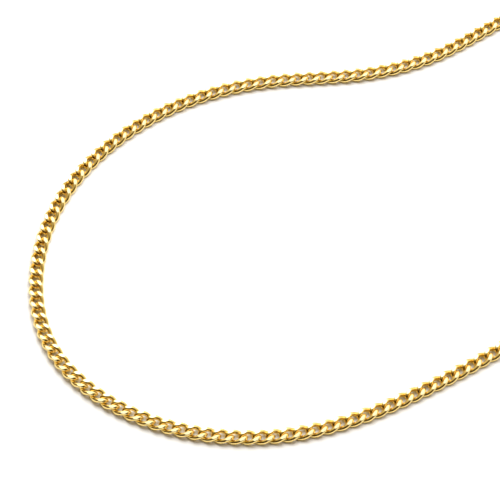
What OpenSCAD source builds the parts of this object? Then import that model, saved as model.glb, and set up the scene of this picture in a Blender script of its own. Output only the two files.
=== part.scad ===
// Curb chain necklace, closed and laid flat in a long loop.
// Every link is an oval of round wire, turned out of its plane at both ends so that it
// interlocks with the next one, and cut flat above and below. Millimetres, +Z up.
// The origin is at the middle of the loop, on the surface that it lies on.

/* [Chain] */
// Number of links from one end of the chain to the other
link_count = 150; // [120:2:150]
// Distance from one link to the next along the chain
link_pitch = 2.9; // [2.9:0.1:3.6]
// Diameter of the wire
wire_d = 0.9; // [0.8:0.05:0.9]
// Width of a link across the chain
link_w = 3.4; // [3.4:0.1:3.8]
// Height of a link between its upper and lower cut faces
link_h = 1.8; // [1.4:0.05:1.8]
// Play between two links when the chain is drawn straight
link_play = 0.24; // [0.2:0.02:0.32]
// Turn of each end of a link out of its plane, in degrees
link_twist = 50; // [48:1:54]

/* [Jump rings] */
// Outer diameter of a jump ring
ring_od = 3.9; // [3.8:0.1:4.2]
// Diameter of a jump ring's wire
ring_wire_d = 0.5; // [0.4:0.05:0.55]
// Lean of a jump ring from lying flat, in degrees
ring_lean = 38; // [35:1:40]

/* [Clasp] */
// Length of the clasp's barrel without its eyes
clasp_len = 8.3; // [7:0.1:12]
// Diameter of the barrel
clasp_d = 2.6; // [2.4:0.1:3]
// Outer diameter of the eye at each end of the barrel
eye_od = 2.7; // [2.6:0.1:2.8]

/* [Hidden] */
gold = [0.93, 0.76, 0.36];

// Control points of the loop, anticlockwise from the clasp. Columns: x, y
ROUTE = [
    [90, -3],
    [106, 8],
    [118, 21.5],
    [121.5, 40.5],
    [115.5, 59],
    [101.5, 72.5],
    [82, 75.5],
    [62.5, 67.5],
    [45.5, 54],
    [26, 48],
    [6, 48],
    [-13, 43],
    [-30, 32.5],
    [-43.5, 16],
    [-49, -4],
    [-46.5, -24],
    [-35, -38],
    [-18.5, -46.5],
    [1, -49.5],
    [20.5, -45.5],
    [38.5, -36.5],
    [56, -26],
    [73, -14.5]
];

// Places round a link where its wire has a cross-section.
// Columns: angle round the oval, the cut face there (1 above, -1 below, 0 none)
SECTIONS = [
    [0, 0],
    [34, -1],
    [62, -1],
    [118, 1],
    [146, 1],
    [180, 0],
    [214, -1],
    [242, -1],
    [298, 1],
    [326, 1]
];

wire_sides = 5;
// A five-sided wire is drawn a little fat, so that it has nearly the metal of a round one
section_r = 1.08 * wire_d / 2;
// Power that makes the oval's long sides fuller than an ellipse's
fullness = 0.8;
end_reach = (link_pitch + wire_d + link_play) / 2;
// The straight stretch that stands in for an oval's bulging side is let out by this much
side_bulge = 0.3;
side_reach = (link_w - wire_d) / 2 + side_bulge;
rest_z = link_h / 2;

// Free lengths at the clasp, all along the chain
ring_r = (ring_od - ring_wire_d) / 2;
eye_wire_d = ring_wire_d;
eye_r = (eye_od - eye_wire_d) / 2;
eye_sink = 0.35;
eye_centre = clasp_len / 2 + eye_r - eye_sink;
eye_tip = eye_centre + eye_r;
// Distance from the tip of an eye's middle line to the end of the end link's middle line
ring_span = 0.95;
// Where a jump ring's middle lies from the end of the end link's middle line
ring_back = 0.25;
ring_aside = 0.45;
ring_facets = 64;
ring_wire_facets = 32;
clasp_gap = 2 * (eye_tip + ring_span + end_reach);
necklace_len = (link_count - 1) * link_pitch + clasp_gap;

// The loop's middle line: a closed cubic spline, brought to the necklace's length
spline_steps = 16;
route_n = len(ROUTE);
function spline_point(k, t) =
    let (a = ROUTE[(k + route_n - 1) % route_n])
    let (b = ROUTE[k % route_n])
    let (c = ROUTE[(k + 1) % route_n])
    let (d = ROUTE[(k + 2) % route_n])
    (pow(1 - t, 3) * a + (3 * pow(t, 3) - 6 * pow(t, 2) + 4) * b
        + (-3 * pow(t, 3) + 3 * pow(t, 2) + 3 * t + 1) * c + pow(t, 3) * d) / 6;
drawn = [for (k = [0:route_n - 1], i = [0:spline_steps - 1]) spline_point(k, i / spline_steps)];
drawn_n = len(drawn);
function step_len(i) = norm(drawn[(i + 1) % drawn_n] - drawn[i % drawn_n]);
run = [for (i = 0, s = 0; i <= drawn_n; s = s + step_len(i), i = i + 1) s];
route_scale = necklace_len / run[drawn_n];
middle_x = (min([for (p = drawn) p.x]) + max([for (p = drawn) p.x])) / 2;
middle_y = (min([for (p = drawn) p.y]) + max([for (p = drawn) p.y])) / 2;
run_x = [for (i = [0:drawn_n]) [run[i], drawn[i % drawn_n].x - middle_x]];
run_y = [for (i = [0:drawn_n]) [run[i], drawn[i % drawn_n].y - middle_y]];
function wrap(s) = (s + necklace_len) % necklace_len;

// Point on the middle line at the length s from the clasp's middle, and the direction there
function on_route(s) =
    let (u = wrap(s) / route_scale)
    route_scale * [lookup(u, run_x), lookup(u, run_y), 0];
function heading(s) =
    let (d = on_route(s + link_pitch / 2) - on_route(s - link_pitch / 2))
    d / norm(d);
function left_of(d) = [-d.y, d.x, 0];
function link_s(i) = clasp_gap / 2 + i * link_pitch;

// Middle line of one link's wire, at the angle t round the oval
function wire_line(t) =
    let (turn = -link_twist * cos(t))
    let (y = side_reach * sign(sin(t)) * pow(abs(sin(t)), fullness))
    [end_reach * cos(t), y * cos(turn), y * sin(turn)];
function wire_heading(t) =
    let (d = wire_line(t + 1) - wire_line(t - 1))
    d / norm(d);

// Corners of the wire's section, as angles from straight up, for a cut face of half angle a
function corners_up(a) =
    let (q = (180 - a) / 2)
    [a, a + q, 180, 360 - a - q, 360 - a];
function corners_down(a) =
    let (q = (180 - a) / 2)
    [0, 180 - a - q, 180 - a, 180 + a, 180 + a + q];
function corners_plain() = [for (k = [0:wire_sides - 1]) 18 + k * 360 / wire_sides];
function section(t, cut) =
    let (c = wire_line(t))
    let (d = wire_heading(t))
    let (up = [0, 0, 1] - d.z * d)
    let (u = up / norm(up))
    let (side = cross(d, u))
    let (half_angle = cut == 0 ? 0 : acos((link_h / 2 - abs(c.z)) / (section_r * u.z)))
    let (turned = cut == 0 ? corners_plain() : cut > 0 ? corners_up(half_angle) : corners_down(half_angle))
    [for (b = turned) c + section_r * (u * cos(b) + side * sin(b))];

link_points = [for (row = SECTIONS) each section(row[0], row[1])];
link_rings = len(SECTIONS);
function corner(j, k) = (j % link_rings) * wire_sides + k % wire_sides;
link_faces = [
    for (j = [0:link_rings - 1], k = [0:wire_sides - 1])
        each [
            [corner(j, k), corner(j + 1, k + 1), corner(j, k + 1)],
            [corner(j, k), corner(j + 1, k), corner(j + 1, k + 1)]
        ]
];

function placed(p, centre, along) =
    centre + p.x * along + p.y * left_of(along) + [0, 0, p.z + rest_z];

// A run of separate interlocked links
module links(first, last) {
    all_points = [
        for (i = [first:last])
            let (centre = on_route(link_s(i)))
            let (along = heading(link_s(i)))
            for (p = link_points) placed(p, centre, along)
    ];
    all_faces = [
        for (i = [0:last - first], f = link_faces)
            [for (corner_of_face = f) corner_of_face + i * len(link_points)]
    ];
    polyhedron(points = all_points, faces = all_faces, convexity = 10);
}

module wire_ring(r, d) {
    rotate_extrude($fn = ring_facets)
        translate([r, 0])
            circle(d = d, $fn = ring_wire_facets);
}

// A jump ring between the eye's tip and the end link's wire, resting on the surface
module jump_ring(eye_at, link_at) {
    across = link_at - eye_at;
    along = across / norm(across);
    centre_z = ring_r * sin(ring_lean) + ring_wire_d / 2;
    centre = link_at - ring_back * along - ring_aside * left_of(along);
    translate([centre.x, centre.y, centre_z])
        rotate([0, 0, atan2(along.y, along.x)])
            rotate([-ring_lean, 0, 0])
                wire_ring(ring_r, ring_wire_d);
}

clasp_at = on_route(0);
clasp_along = heading(0);
first_link_end = on_route(link_s(0)) - end_reach * heading(link_s(0));
last_link_end = on_route(link_s(link_count - 1)) + end_reach * heading(link_s(link_count - 1));
half_count = link_count / 2;

module chain_upper() {
    color(gold)
        links(0, half_count - 1);
}

module chain_lower() {
    color(gold)
        links(half_count, link_count - 1);
}

module jump_ring_upper() {
    color(gold)
        jump_ring(clasp_at + eye_tip * clasp_along, first_link_end);
}

module jump_ring_lower() {
    color(gold)
        jump_ring(clasp_at - eye_tip * clasp_along, last_link_end);
}

// Barrel with bevelled ends and an eye soldered to each end
module clasp() {
    bevel = clasp_d / 6;
    half = clasp_len / 2;
    radius = clasp_d / 2;
    color(gold)
        translate([clasp_at.x, clasp_at.y, radius])
            rotate([0, 0, atan2(clasp_along.y, clasp_along.x)])
                union() {
                    rotate([0, 90, 0])
                        rotate_extrude($fn = ring_facets)
                            polygon([
                                [0, -half],
                                [radius - bevel, -half],
                                [radius, -half + bevel],
                                [radius, half - bevel],
                                [radius - bevel, half],
                                [0, half]
                            ]);
                    for (end = [-1, 1])
                        translate([end * eye_centre, 0, 0])
                            rotate([link_twist, 0, end < 0 ? 180 : 0])
                                wire_ring(eye_r, eye_wire_d);
                }
}

chain_upper();
chain_lower();
jump_ring_upper();
jump_ring_lower();
clasp();
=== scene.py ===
import math
import bmesh
import bpy
import numpy as np
from mathutils import Matrix, Vector


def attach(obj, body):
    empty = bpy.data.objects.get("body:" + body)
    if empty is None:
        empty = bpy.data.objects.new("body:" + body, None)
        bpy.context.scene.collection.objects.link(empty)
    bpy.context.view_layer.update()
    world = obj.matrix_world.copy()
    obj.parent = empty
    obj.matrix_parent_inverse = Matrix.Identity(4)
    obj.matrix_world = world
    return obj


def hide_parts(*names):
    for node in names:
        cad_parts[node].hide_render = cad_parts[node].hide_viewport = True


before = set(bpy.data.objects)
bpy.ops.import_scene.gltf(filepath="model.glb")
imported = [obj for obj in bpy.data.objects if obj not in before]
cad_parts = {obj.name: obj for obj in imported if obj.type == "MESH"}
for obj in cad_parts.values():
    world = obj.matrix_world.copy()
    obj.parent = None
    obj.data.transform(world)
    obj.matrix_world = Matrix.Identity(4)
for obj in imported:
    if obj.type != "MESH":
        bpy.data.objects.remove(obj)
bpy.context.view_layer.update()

# The links: each is an oval of round wire, gold over brass, bent out of its plane at both
# ends so that it hooks through its neighbours. The finished chain is rolled to one height,
# and a diamond tool then cuts two flats on the upper side and one level flat on the lower.
mm = 0.001
PITCH = 2.9 * mm
WIRE = 1.05 * mm
LINK_W = 3.45 * mm
LINK_H = 1.8 * mm
PLAY = 0.14 * mm
TWIST = math.radians(54)
FULLNESS = 0.8
END_REACH = (PITCH + WIRE + PLAY) / 2
SIDE_REACH = (LINK_W - WIRE) / 2
REST_Z = LINK_H / 2
FLAT_TILT = math.radians(9)
FLAT_AT = 1.0 * mm
FLAT_LEAST = 0.2 * mm * mm
LEVEL_ENOUGH = math.cos(FLAT_TILT) - 0.001
LINK_CREASE = math.radians(45)


def link_line(t):
    """Middle line of a link's wire, at the angle t round its oval."""
    turn = -TWIST * np.cos(t)
    y = SIDE_REACH * np.sign(np.sin(t)) * np.abs(np.sin(t)) ** FULLNESS
    return np.stack([END_REACH * np.cos(t), y * np.cos(turn), y * np.sin(turn)], -1)


def unit(v):
    """The direction of each vector, with a length of one."""
    return v / np.linalg.norm(v, axis=-1, keepdims=True)


def lengths_along(points):
    """The distance from the first point to each point, along the line through them."""
    return np.concatenate([[0], np.cumsum(np.linalg.norm(np.diff(points, axis=0), axis=1))])


def skin(mesh, rings, closed):
    """Joins each ring of corners to the next with four-sided faces."""
    pairs = list(zip(rings, rings[1:])) + ([(rings[-1], rings[0])] if closed else [])
    for near, far in pairs:
        for k in range(len(near)):
            q = (k + 1) % len(near)
            mesh.faces.new([near[k], near[q], far[q], far[k]])


def swept_link(stations=24, sides=12, fine_steps=720, nudge=0.02):
    """Round wire along the oval, with its sections spaced evenly along the wire."""
    fine = np.linspace(0, 2 * np.pi, fine_steps + 1)
    run = lengths_along(link_line(fine))
    t = np.interp((np.arange(stations) + 0.5) / stations * run[-1], run, fine)
    centre = link_line(t)
    ahead = unit(link_line(t + nudge) - link_line(t - nudge))
    out = unit(centre - (centre * ahead).sum(1)[:, None] * ahead)
    side = np.cross(ahead, out)
    turns = [2 * math.pi * (k + 0.5) / sides for k in range(sides)]
    mesh = bmesh.new()
    rings = []
    for c, o, s in zip(centre, out, side):
        corners = [c + WIRE / 2 * (math.cos(a) * o + math.sin(a) * s) for a in turns]
        rings.append([mesh.verts.new(corner) for corner in corners])
    skin(mesh, rings, closed=True)
    bmesh.ops.recalc_face_normals(mesh, faces=mesh.faces)
    return mesh


def cut_flat(mesh, facing, reach):
    """Cuts the wire off at a plane and closes the cuts with flat faces."""
    facing = Vector(facing)
    geometry = mesh.verts[:] + mesh.edges[:] + mesh.faces[:]
    found = bmesh.ops.bisect_plane(
        mesh, geom=geometry, plane_co=facing * reach, plane_no=facing, clear_outer=True)
    rims = [e for e in found["geom_cut"] if isinstance(e, bmesh.types.BMEdge)]
    bmesh.ops.holes_fill(mesh, edges=rims, sides=0)


link_shape = swept_link()
cut_flat(link_shape, (0, 0, -1), REST_Z)
for side in (-1, 1):
    facing = (0, side * math.sin(FLAT_TILT), math.cos(FLAT_TILT))
    cut_flat(link_shape, facing, REST_Z * math.cos(FLAT_TILT) + FLAT_AT * math.sin(FLAT_TILT))
link_shape.normal_update()
# The large and nearly level faces are the cuts, and the others belong to the round wire
for face in link_shape.faces:
    face.smooth = abs(face.normal.z) < LEVEL_ENOUGH or face.calc_area() < FLAT_LEAST
for edge in link_shape.edges:
    edge.smooth = edge.calc_face_angle(0) < LINK_CREASE
link_mesh = bpy.data.meshes.new("curb_link")
link_shape.to_mesh(link_mesh)
link_shape.free()
cut_mark = link_mesh.attributes.new("cut_face", "BOOLEAN", "FACE")
cut_mark.data.foreach_set("value", [not face.use_smooth for face in link_mesh.polygons])
curb_link = bpy.data.objects.new("curb_link", link_mesh)
bpy.context.scene.collection.objects.link(curb_link)

# Gold plate: a warm yellow over brass, polished in a tumbler, so the wire has a fine
# uneven sheen and hairlines. The diamond-cut flats carry straight, close tool marks, and
# their paler gold is a painted highlight that makes them read cream where they mirror light.
CLOUD_SCALE = 420.0
HAIR_SCALE = (60000, 2500, 9000)
HAIR_DEPTH = 0.01 * mm
CLOUD_SHEEN = 0.10
HAIR_SHEEN = 0.08


class Sock:
    """A value in a node tree: arithmetic on it adds the Math node that works it out."""

    def __init__(self, tree, socket):
        self.tree, self.socket = tree, socket

    def _math(self, operation, *values):
        sockets = dict(enumerate(values))
        return Nodes(self.tree).node("ShaderNodeMath", {"operation": operation}, sockets)

    def __add__(self, other): return self._math("ADD", self, other)
    def __radd__(self, other): return self._math("ADD", other, self)
    def __sub__(self, other): return self._math("SUBTRACT", self, other)
    def __rsub__(self, other): return self._math("SUBTRACT", other, self)
    def __mul__(self, other): return self._math("MULTIPLY", self, other)
    def __rmul__(self, other): return self._math("MULTIPLY", other, self)


class Nodes:
    """Adds any node by its type, its settings and the values or links of its sockets."""

    def __init__(self, tree):
        self.tree = tree

    def node(self, kind, settings=None, sockets=None, output=0):
        made = self.tree.nodes.new(kind)
        for name, value in (settings or {}).items():
            setattr(made, name, value)
        for name, value in (sockets or {}).items():
            if isinstance(value, Sock):
                self.tree.links.new(value.socket, made.inputs[name])
            else:
                made.inputs[name].default_value = value
        return Sock(self.tree, made.outputs[output])


def gold(name, colour, deep, roughness, marks_angle, marks_strength):
    """Polished plate: its colour drifts between two tints, and its hairlines run at an angle."""
    material = bpy.data.materials.new(name)
    material.use_nodes = True
    tree = material.node_tree
    nodes = Nodes(tree)
    shader = tree.nodes["Principled BSDF"]
    place = nodes.node("ShaderNodeTexCoord", output="Object")
    cloudy = nodes.node("ShaderNodeTexNoise", {},
                        {"Vector": place, "Scale": CLOUD_SCALE, "Detail": 3.0})
    tint = nodes.node("ShaderNodeMix", {"data_type": "RGBA"},
                      {"Factor": cloudy, "A": deep, "B": colour}, output=2)
    turned = nodes.node("ShaderNodeMapping", {},
                        {"Vector": place, "Rotation": (0, 0, marks_angle), "Scale": HAIR_SCALE})
    hairs = nodes.node("ShaderNodeTexNoise", {}, {"Vector": turned, "Scale": 1.0, "Detail": 2.0})
    sheen = roughness + (cloudy - 0.5) * CLOUD_SHEEN + (hairs - 0.5) * HAIR_SHEEN
    bump = nodes.node("ShaderNodeBump", {},
                      {"Height": hairs, "Strength": marks_strength, "Distance": HAIR_DEPTH})
    tree.links.new(tint.socket, shader.inputs["Base Color"])
    tree.links.new(sheen.socket, shader.inputs["Roughness"])
    tree.links.new(bump.socket, shader.inputs["Normal"])
    shader.inputs["Metallic"].default_value = 1.0
    return material


wire_gold = gold("wire_gold", (0.96, 0.74, 0.28, 1), (0.93, 0.69, 0.24, 1),
                 roughness=0.10, marks_angle=0.5, marks_strength=0.15)
# The cut gold is paler as a painted highlight, so that the flats read cream rather than gold.
cut_gold_painted_highlight = gold("cut_gold_painted_highlight", (1.0, 0.88, 0.52, 1), (1.0, 0.85, 0.46, 1),
                roughness=0.15, marks_angle=0.9, marks_strength=0.25)

# The chain's run: 150 links from one side of the clasp, round the loop and back to its
# other side. It lies on a flat surface in one long bent loop, drawn here by its control
# points in millimetres and brought to the necklace's own length.
ROUTE = np.array([
    (90, -3), (106, 8), (118, 21.5), (121.5, 40.5), (115.5, 59), (101.5, 72.5),
    (82, 75.5), (62.5, 67.5), (45.5, 54), (26, 48), (6, 48), (-13, 43),
    (-30, 32.5), (-43.5, 16), (-49, -4), (-46.5, -24), (-35, -38), (-18.5, -46.5),
    (1, -49.5), (20.5, -45.5), (38.5, -36.5), (56, -26), (73, -14.5)], float)
SPLINE_STEPS = 16
LINK_COUNT = 150
LINK_SWAY = math.radians(0.5)
CLASP_LEN = 8.3 * mm
EYE_R = 1.1 * mm
EYE_SINK = 0.35 * mm
RING_SPAN = 0.95 * mm
EYE_CENTRE = CLASP_LEN / 2 + EYE_R - EYE_SINK
EYE_TIP = EYE_CENTRE + EYE_R
CLASP_GAP = 2 * (EYE_TIP + RING_SPAN + END_REACH)
NECKLACE_LEN = (LINK_COUNT - 1) * PITCH + CLASP_GAP
FIRST_LINK_AT = CLASP_GAP / 2
LAST_LINK_AT = CLASP_GAP / 2 + (LINK_COUNT - 1) * PITCH
HALF_COUNT = LINK_COUNT // 2

before, after, beyond = (np.roll(ROUTE, n, 0) for n in (1, -1, -2))
t = (np.arange(SPLINE_STEPS) / SPLINE_STEPS)[None, :, None]
loop = ((1 - t) ** 3 * before[:, None] + (3 * t ** 3 - 6 * t ** 2 + 4) * ROUTE[:, None]
        + (-3 * t ** 3 + 3 * t ** 2 + 3 * t + 1) * after[:, None] + t ** 3 * beyond[:, None]) / 6
loop = loop.reshape(-1, 2)
loop = np.concatenate([loop, loop[:1]])
loop_middle = (loop.min(0) + loop.max(0)) / 2
route_scale = NECKLACE_LEN / lengths_along(loop)[-1]
loop = (loop - loop_middle) * route_scale
loop_s = lengths_along(loop)


def on_loop(s):
    """The point of the loop's middle line at the length s from the clasp's middle."""
    s = s % NECKLACE_LEN
    return Vector((np.interp(s, loop_s, loop[:, 0]), np.interp(s, loop_s, loop[:, 1]), 0))


def chain_tree():
    """Sets links at even lengths along a run, each turned along the chord that it spans."""
    tree = bpy.data.node_groups.new("links_on_run", "GeometryNodeTree")
    inputs = (("Geometry", "Geometry"), ("Link", "Object"), ("Count", "Int"), ("Start", "Float"),
              ("Pitch", "Float"), ("Height", "Float"), ("Sway", "Float"), ("Seed", "Int"),
              ("Wire", "Material"), ("Cut", "Material"))
    for name, kind in inputs:
        tree.interface.new_socket(name, in_out="INPUT", socket_type="NodeSocket" + kind)
    tree.interface.new_socket("Geometry", in_out="OUTPUT", socket_type="NodeSocketGeometry")
    nodes = Nodes(tree)
    given = tree.nodes.new("NodeGroupInput")
    take = {s.name: Sock(tree, s) for s in given.outputs if s.name}
    run = nodes.node("GeometryNodeMeshToCurve", {}, {"Mesh": take["Geometry"]})
    points = nodes.node("GeometryNodePoints", {}, {"Count": take["Count"]})
    number = nodes.node("GeometryNodeInputIndex")
    s = take["Start"] + number * take["Pitch"]

    def sample(length):
        return nodes.node("GeometryNodeSampleCurve", {"mode": "LENGTH"},
                          {"Curves": run, "Length": length}, output="Position")

    def vector(operation, *values):
        return nodes.node("ShaderNodeVectorMath", {"operation": operation}, dict(enumerate(values)))

    half = take["Pitch"] * 0.5
    chord = vector("SUBTRACT", sample(s + half), sample(s - half))
    lifted = nodes.node("ShaderNodeCombineXYZ", {}, {"Z": take["Height"]})
    place = vector("ADD", sample(s), lifted)
    facing = nodes.node("FunctionNodeAxesToRotation", {"primary_axis": "Z", "secondary_axis": "X"},
                        {"Primary Axis": (0, 0, 1), "Secondary Axis": chord})
    sway = nodes.node("FunctionNodeRandomValue", {"data_type": "FLOAT_VECTOR"},
                      {"Min": (-1, -1, -1), "Max": (1, 1, 1), "ID": number, "Seed": take["Seed"]})
    tilt = nodes.node("ShaderNodeVectorMath", {"operation": "SCALE"},
                      {0: sway, "Scale": take["Sway"]})
    swayed = nodes.node("FunctionNodeRotateRotation", {"rotation_space": "LOCAL"},
                        {"Rotation": facing, "Rotate By": tilt})
    placed = nodes.node("GeometryNodeSetPosition", {}, {"Geometry": points, "Position": place})
    shape = nodes.node("GeometryNodeObjectInfo", {"transform_space": "ORIGINAL"},
                       {"Object": take["Link"]}, output="Geometry")
    links = nodes.node("GeometryNodeInstanceOnPoints", {},
                       {"Points": placed, "Instance": shape, "Rotation": swayed})
    solid = nodes.node("GeometryNodeRealizeInstances", {}, {"Geometry": links})
    cut = nodes.node("GeometryNodeInputNamedAttribute", {"data_type": "BOOLEAN"},
                     {"Name": "cut_face"})
    wired = nodes.node("GeometryNodeSetMaterial", {}, {"Geometry": solid, "Material": take["Wire"]})
    done = nodes.node("GeometryNodeSetMaterial", {},
                      {"Geometry": wired, "Selection": cut, "Material": take["Cut"]})
    result = tree.nodes.new("NodeGroupOutput")
    tree.links.new(done.socket, result.inputs["Geometry"])
    return tree


links_on_run = chain_tree()
run_mesh = bpy.data.meshes.new("chain_run")
run_steps = [(i, i + 1) for i in range(len(loop) - 1)]
run_mesh.from_pydata([(x, y, 0) for x, y in loop], run_steps, [])


def laid_chain(name, node, first, count, seed):
    """A run of links, counted from the clasp, that stands for its part of the frame."""
    run = bpy.data.objects.new(name + "_run", run_mesh)
    bpy.context.scene.collection.objects.link(run)
    modifier = run.modifiers.new("links", "NODES")
    modifier.node_group = links_on_run
    values = {"Link": curb_link, "Count": count, "Start": FIRST_LINK_AT + first * PITCH,
              "Pitch": PITCH, "Height": REST_Z, "Sway": LINK_SWAY, "Seed": seed,
              "Wire": wire_gold, "Cut": cut_gold_painted_highlight}
    for item in links_on_run.interface.items_tree:
        if item.in_out == "INPUT" and item.name in values:
            modifier[item.identifier] = values[item.name]
    bpy.context.view_layer.update()
    view = bpy.context.evaluated_depsgraph_get()
    mesh = bpy.data.meshes.new_from_object(run.evaluated_get(view))
    mesh.name = name
    chain = bpy.data.objects.new(name, mesh)
    bpy.context.scene.collection.objects.link(chain)
    bpy.data.objects.remove(run)
    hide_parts(node)
    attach(chain, "root")


laid_chain("upper_links", "chain_upper", first=0, count=HALF_COUNT, seed=4)
laid_chain("lower_links", "chain_lower", first=HALF_COUNT, count=HALF_COUNT, seed=9)
bpy.data.objects.remove(curb_link)

# The jump rings: each is one turn of round gold-plated wire, bent closed until its two
# ends butt. One joins each end link of the chain to an eye of the clasp, and both lean
# against the wire that they hold.
RING_R = 1.7 * mm
RING_WIRE = 0.5 * mm
RING_LEAN = math.radians(38)
RING_BACK = 0.25 * mm
RING_ASIDE = 0.45 * mm
RING_SEAM = 0.03 * mm
SEAM_CHAMFER = 0.04 * mm
FITTING_CREASE = math.radians(32)
fitting_gold = gold("fitting_gold", (1.0, 0.75, 0.31, 1), (0.98, 0.70, 0.26, 1),
                    roughness=0.15, marks_angle=0.3, marks_strength=0.12)


def heading(s):
    """The direction of the loop at the length s, taken over one link."""
    return (on_loop(s + PITCH / 2) - on_loop(s - PITCH / 2)).normalized()


def bent_wire(mesh, radius, wire, seam, place, around=64, sides=16):
    """Adds a ring of round wire. A seam parts its two ends, which are then chamfered."""
    reach = wire / 2
    if seam:
        first, last = seam / 2 / radius, 2 * math.pi - seam / 2 / radius
        chamfer = SEAM_CHAMFER / radius
        inner = np.linspace(first + chamfer, last - chamfer, around)
        tip = reach - SEAM_CHAMFER
        stops = [(first, tip)] + [(a, reach) for a in inner] + [(last, tip)]
    else:
        stops = [(2 * math.pi * k / around, reach) for k in range(around)]
    turns = [2 * math.pi * k / sides for k in range(sides)]
    rings = []
    up = Vector((0, 0, 1))
    for a, r in stops:
        out = Vector((math.cos(a), math.sin(a), 0))
        corners = [(radius + r * math.cos(b)) * out + r * math.sin(b) * up for b in turns]
        rings.append([mesh.verts.new(place @ corner) for corner in corners])
    skin(mesh, rings, closed=not seam)
    if seam:
        mesh.faces.new(rings[0][::-1])
        mesh.faces.new(rings[-1])


def finished(name, shape, material, node):
    """Turns a shape into a piece with soft shading and sharp edges, and ties it to its part."""
    bmesh.ops.recalc_face_normals(shape, faces=shape.faces)
    for face in shape.faces:
        face.smooth = True
    for edge in shape.edges:
        edge.smooth = edge.calc_face_angle(0) < FITTING_CREASE
    mesh = bpy.data.meshes.new(name)
    shape.to_mesh(mesh)
    shape.free()
    mesh.materials.append(material)
    piece = bpy.data.objects.new(name, mesh)
    bpy.context.scene.collection.objects.link(piece)
    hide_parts(node)
    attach(piece, "root")


def jump_ring(name, node, eye_at, link_at):
    """A ring from the tip of one of the clasp's eyes to the end link, leaning to one side."""
    along = (link_at - eye_at).normalized()
    left = Vector((-along.y, along.x, 0))
    centre = link_at - RING_BACK * along - RING_ASIDE * left
    centre.z = RING_R * math.sin(RING_LEAN) + RING_WIRE / 2
    turn = Matrix.Rotation(math.atan2(along.y, along.x), 4, "Z")
    lean = Matrix.Rotation(-RING_LEAN, 4, "X")
    shape = bmesh.new()
    bent_wire(shape, RING_R, RING_WIRE, RING_SEAM, Matrix.Translation(centre) @ turn @ lean)
    finished(name, shape, fitting_gold, node)


clasp_at, clasp_along = on_loop(0), heading(0)
jump_ring("upper_jump_ring", "jump_ring_upper", clasp_at + EYE_TIP * clasp_along,
          on_loop(FIRST_LINK_AT) - END_REACH * heading(FIRST_LINK_AT))
jump_ring("lower_jump_ring", "jump_ring_lower", clasp_at - EYE_TIP * clasp_along,
          on_loop(LAST_LINK_AT) + END_REACH * heading(LAST_LINK_AT))

# The clasp: a slim barrel turned from brass and gold plated, its edges bevelled, with a
# fine line round its middle. A wire eye is soldered into each end, and the solder stands
# as a low mound round the wire.
CLASP_D = 2.6 * mm
CLASP_BEVEL = CLASP_D / 6
LINE_REACH = 0.05 * mm
LINE_DEPTH = 0.07 * mm
DISH_R = CLASP_D / 8
DISH_DEPTH = 0.04 * mm
EYE_WIRE = 0.5 * mm
EYE_TURN = math.radians(50)
SOLDER = (0.20 * mm, 0.86 * mm, 0.42 * mm)
SOLDER_SUNK = 0.02 * mm


def turned_barrel(mesh, place, around=64):
    """Turns the barrel's profile round its axis, with its line, bevels and dished ends."""
    half, r = CLASP_LEN / 2, CLASP_D / 2
    right = [(LINE_REACH, r), (half - CLASP_BEVEL, r), (half, r - CLASP_BEVEL),
             (half - DISH_DEPTH, DISH_R)]
    profile = [(-x, y) for x, y in right[::-1]] + [(0, r - LINE_DEPTH)] + right
    turns = [2 * math.pi * k / around for k in range(around)]
    rings = []
    for x, y in profile:
        corners = [Vector((x, y * math.cos(a), y * math.sin(a))) for a in turns]
        rings.append([mesh.verts.new(place @ corner) for corner in corners])
    skin(mesh, rings, closed=False)
    mesh.faces.new(rings[0][::-1])
    mesh.faces.new(rings[-1])


def solder_mound(mesh, place, around=24, rows=12):
    """A low rounded mass of solder, half sunk in the barrel's end."""
    proud, wide, high = SOLDER
    turns = [2 * math.pi * k / around for k in range(around)]
    rings = []
    for j in range(1, rows):
        out, up = math.sin(math.pi * j / rows), math.cos(math.pi * j / rows)
        corners = [(proud * out * math.cos(a), wide * out * math.sin(a), high * up) for a in turns]
        rings.append([mesh.verts.new(place @ Vector(corner)) for corner in corners])
    skin(mesh, rings, closed=False)
    for ring, top in ((rings[0], high), (rings[-1], -high)):
        tip = mesh.verts.new(place @ Vector((0, 0, top)))
        for k in range(around):
            mesh.faces.new([ring[k], ring[(k + 1) % around], tip])


barrel_place = Matrix.Translation(clasp_at + Vector((0, 0, CLASP_D / 2)))
barrel_place = barrel_place @ Matrix.Rotation(math.atan2(clasp_along.y, clasp_along.x), 4, "Z")
clasp_shape = bmesh.new()
turned_barrel(clasp_shape, barrel_place)
for facing in (0, math.pi):
    turn = barrel_place @ Matrix.Rotation(facing, 4, "Z") @ Matrix.Rotation(EYE_TURN, 4, "X")
    eye_place = turn @ Matrix.Translation((EYE_CENTRE, 0, 0))
    bent_wire(clasp_shape, EYE_R, EYE_WIRE, 0, eye_place, around=48)
    solder_mound(clasp_shape, turn @ Matrix.Translation((CLASP_LEN / 2 - SOLDER_SUNK, 0, 0)))
finished("barrel_clasp", clasp_shape, fitting_gold, "clasp")

# The floor: one flat sheet of plain white paper with a matt face. The chain lies on it,
# and it reaches past every edge of the picture.
FLOOR_REACH = 1.5
paper = bpy.data.meshes.new("paper")
paper_corners = [(x * FLOOR_REACH, y * FLOOR_REACH, 0)
                 for x, y in ((-1, -1), (1, -1), (1, 1), (-1, 1))]
paper.from_pydata(paper_corners, [], [(0, 1, 2, 3)])
paper_sheet = bpy.data.objects.new("paper", paper)
bpy.context.scene.collection.objects.link(paper_sheet)
white = bpy.data.materials.new("white_paper")
white.use_nodes = True
paper_shader = white.node_tree.nodes["Principled BSDF"]
paper_shader.inputs["Base Color"].default_value = (0.93, 0.93, 0.93, 1)
paper_shader.inputs["Roughness"].default_value = 0.6
paper_shader.inputs["Specular IOR Level"].default_value = 0.1
paper.materials.append(white)

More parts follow.
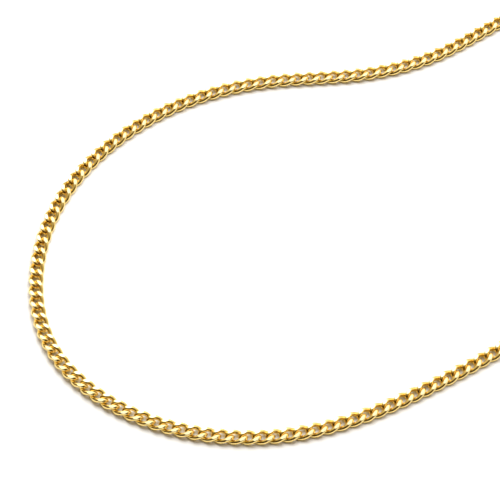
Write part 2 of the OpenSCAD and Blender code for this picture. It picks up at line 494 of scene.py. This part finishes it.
# The camera: a long lens that looks down at the left bend of the loop. It aims at the
# point that the route was drawn round, and its distance is in the drawn route's units.
PICTURE_PX = 500
SENSOR_W = 36
FOCAL_PX = 2274.0
ELEVATION = math.radians(57.12)
DRAWN_DISTANCE = 513.6
distance = DRAWN_DISTANCE * float(route_scale)
target = Vector([*(-loop_middle * route_scale), 0])
camera = bpy.data.cameras.new("camera")
camera.sensor_width = SENSOR_W
camera.lens = FOCAL_PX / PICTURE_PX * SENSOR_W
camera.clip_start = 0.01
viewer = bpy.data.objects.new("camera", camera)
bpy.context.scene.collection.objects.link(viewer)
viewer.location = target + distance * Vector((0, -math.cos(ELEVATION), math.sin(ELEVATION)))
viewer.rotation_euler = (math.pi / 2 - ELEVATION, 0, 0)
bpy.context.scene.camera = viewer

# The lamp: one large soft light, above and behind, that lights the paper and draws the
# faint shadow. The gold doesn't mirror it.
LAMP_AZIMUTH = math.radians(20)
LAMP_ELEVATION = math.radians(64)
LAMP_DISTANCE = 0.9
lamp = bpy.data.lights.new("sheet_light", "AREA")
lamp.shape = "RECTANGLE"
lamp.size, lamp.size_y = 0.8, 0.6
lamp.energy = 6.5
lamp_holder = bpy.data.objects.new("sheet_light", lamp)
lamp_holder.visible_glossy = False
bpy.context.scene.collection.objects.link(lamp_holder)
lamp_way = Vector((math.sin(LAMP_AZIMUTH) * math.cos(LAMP_ELEVATION),
                   math.cos(LAMP_AZIMUTH) * math.cos(LAMP_ELEVATION), math.sin(LAMP_ELEVATION)))
lamp_holder.location = target + LAMP_DISTANCE * lamp_way
lamp_holder.rotation_euler = (-lamp_way).to_track_quat("-Z", "Y").to_euler()

# The studio: what the gold mirrors. A white screen stands behind, brighter low down than
# high up. A pale wall glows on the right. The rest of the room is dim, and its red, green
# and blue fade out one after another, so it is warmest where it is darkest.
SCREEN_LOW, SCREEN_HIGH = 2.8, 1.35
WALL_GLOW = 0.7
ROOM_RED, ROOM_GREEN, ROOM_BLUE = (0.14, 0.72), (0.26, 0.69), (0.42, 0.62)
studio = bpy.data.worlds.new("studio")
bpy.context.scene.world = studio
studio.use_nodes = True
nodes = Nodes(studio.node_tree)
direction = nodes.node("ShaderNodeTexCoord", output="Generated")
aside, behind, height = (
    nodes.node("ShaderNodeSeparateXYZ", {}, {"Vector": direction}, output=axis) for axis in "XYZ")


def fade(value, start, end, low, high):
    """Goes from low to high while the value goes from start to end."""
    return nodes.node("ShaderNodeMapRange", {}, {
        "Value": value, "From Min": start, "From Max": end, "To Min": low, "To Max": high})


screen = (fade(behind, 0.05, 0.2, 0.0, 1.0) * fade(height, 0.2, 0.4, 0.0, 1.0)
          * fade(aside * aside, 0.2, 0.5, 1.0, 0.0))
screen_light = fade(height, 0.65, 0.9, SCREEN_LOW, SCREEN_HIGH)
wall_light = fade(aside + behind * 0.3, 0.65, 0.95, 0.0, WALL_GLOW)
colours = {}
for name, (dark_end, level) in zip(("Red", "Green", "Blue"), (ROOM_RED, ROOM_GREEN, ROOM_BLUE)):
    room_light = fade(height + behind * 0.6, dark_end, 1.0, 0.0, level)
    colours[name] = screen * screen_light + (1 - screen) * (wall_light + room_light)
studio_light = nodes.node("ShaderNodeCombineColor", {}, colours, output="Color")
background = studio.node_tree.nodes["Background"]
studio.node_tree.links.new(studio_light.socket, background.inputs["Color"])
bpy.context.scene.view_settings.view_transform = "Standard"
